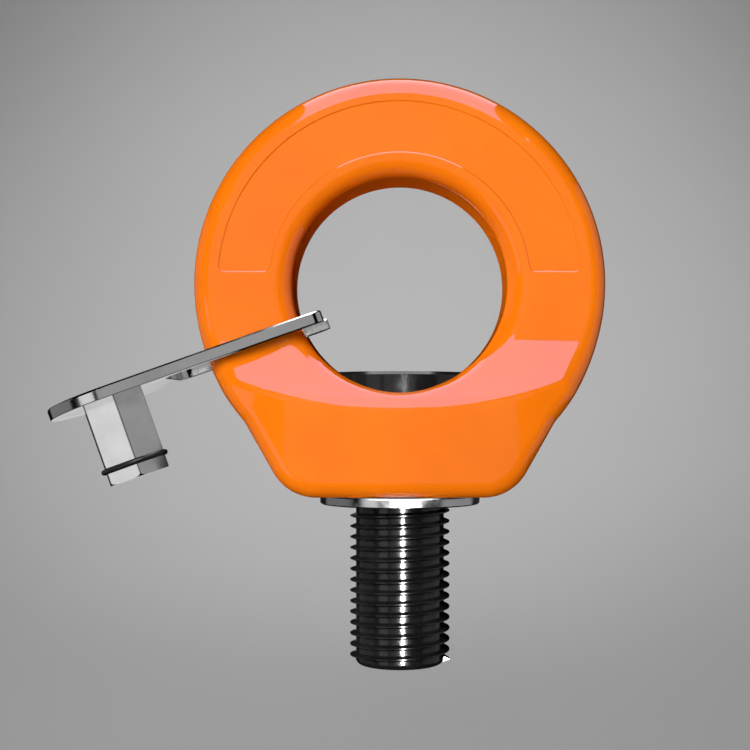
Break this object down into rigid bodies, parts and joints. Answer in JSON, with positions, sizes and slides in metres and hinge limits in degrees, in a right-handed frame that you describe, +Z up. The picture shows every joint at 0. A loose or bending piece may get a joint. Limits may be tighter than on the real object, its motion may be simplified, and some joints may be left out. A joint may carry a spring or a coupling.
{
  "type": "swivel eye bolt",
  "caption": "Orange lifting eye that turns on a black threaded bolt, with a flanged bush, internal bearing and seals, and a forked hexagon hand key hung on one leg.",
  "frame": {"origin": "centre of the bolt's seat: the point on the bolt's axis at the underside of the bush flange", "axes": "+Z up the bolt's axis to the eye; the eye lies in the XZ plane with its front facing -Y; the key hangs on the -X leg"},
  "size_m": [0.2325, 0.072, 0.2434],
  "materials": {
    "eye_paint": "thick gloss orange powder coat over a forging",
    "bolt_black": "black phosphate, lightly oiled",
    "bush_steel": "turned and bright zinc plated",
    "washer_bronze": "bearing bronze, greased",
    "spring_steel": "oiled spring steel",
    "key_plate_steel": "polished, bright nickel plated",
    "key_pin_steel": "drawn hexagon bar, polished",
    "seal_rubber": "smooth black nitrile rubber"
  },
  "bodies": {
    "bolt": {"load_bolt": "bolt_black", "flanged_bush": "bush_steel", "bush_snap_ring": "spring_steel", "head_dust_seal": "seal_rubber", "thrust_washer": "washer_bronze"},
    "eye": {"eye_body": "eye_paint", "lower_dust_seal": "seal_rubber"},
    "key": {"key_plate": "key_plate_steel", "key_pin": "key_pin_steel", "key_o_ring": "seal_rubber"}
  },
  "joints": [
    {"name": "eye_swivel", "type": "hinge", "parent": "bolt", "child": "eye", "pos_m": [0, 0, 0], "axis": [0, 0, 1], "continuous": true},
    {"name": "key_pull_off", "type": "slide", "parent": "eye", "child": "key", "axis": [-0.9426, 0, -0.3338], "range_m": [0, 0.08]}
  ]
}
